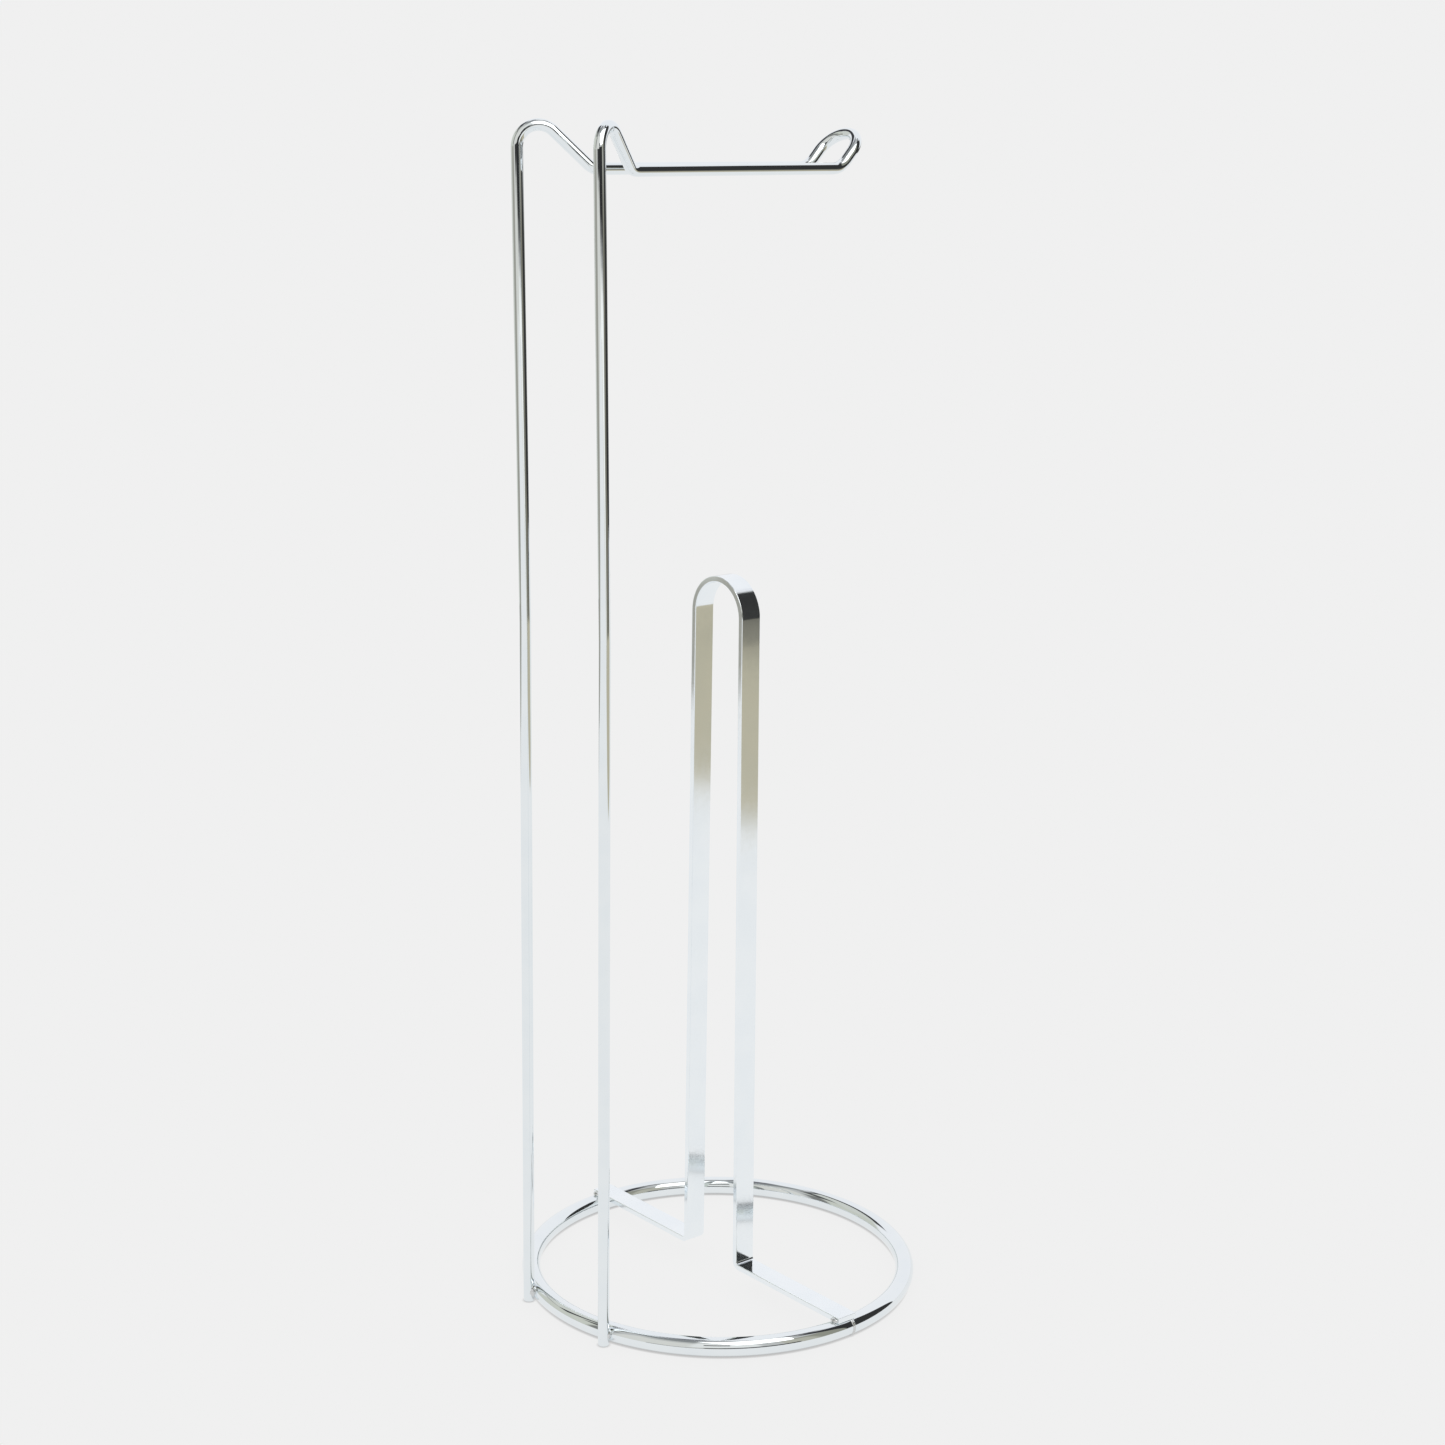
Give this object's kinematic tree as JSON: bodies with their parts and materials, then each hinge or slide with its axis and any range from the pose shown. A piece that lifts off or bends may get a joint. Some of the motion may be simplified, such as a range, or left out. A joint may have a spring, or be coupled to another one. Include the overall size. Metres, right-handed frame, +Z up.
{
  "type": "toilet roll stand",
  "caption": "Free-standing welded wire stand: a looped arm on twin uprights holds a roll in use, and an arched flat-strip post on the round wire base holds spare rolls.",
  "frame": {"origin": "centre of the base ring, on the floor", "axes": "+X along the roll arm, from the uprights towards its upturned tip; +Z up; +Y completes the right-handed frame, across the two uprights"},
  "size_m": [0.1762, 0.1742, 0.4997],
  "materials": {
    "chrome_wire": "bright chrome plating on drawn round steel wire",
    "chrome_strip": "bright chrome plating on rolled flat steel strip",
    "chrome_weld": "chrome plating over small undressed weld beads"
  },
  "bodies": {
    "root": {"base_ring": "chrome_wire", "ring_seam_weld": "chrome_weld", "roll_hanger": "chrome_wire", "hanger_weld_left": "chrome_weld", "hanger_weld_right": "chrome_weld", "spare_roll_post": "chrome_strip", "post_weld_left": "chrome_weld", "post_weld_right": "chrome_weld"}
  },
  "joints": []
}
